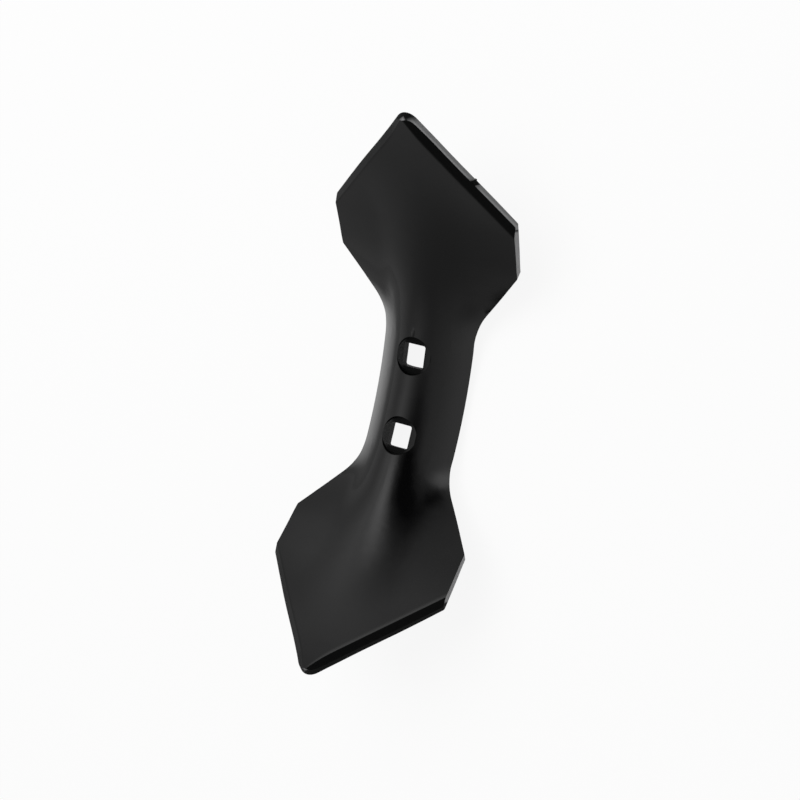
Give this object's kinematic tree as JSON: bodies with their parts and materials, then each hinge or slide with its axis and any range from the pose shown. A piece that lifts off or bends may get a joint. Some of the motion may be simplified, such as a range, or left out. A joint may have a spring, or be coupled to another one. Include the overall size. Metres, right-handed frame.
{
  "type": "cultivator share",
  "caption": "Reversible cultivator share of pressed black steel plate: crowned shank with square bolt holes in round recesses, spread diamond ends and bevelled cutting edges.",
  "frame": {"origin": "on the surface that the share lies on, midway between the bolt holes", "axes": "+Z out of the front face, +Y along the share from one point to the other, +X across it"},
  "size_m": [0.1098, 0.3022, 0.0851],
  "materials": {
    "share": "satin black paint over rough cut edges"
  },
  "bodies": {
    "root": {"share": "share"}
  },
  "joints": []
}
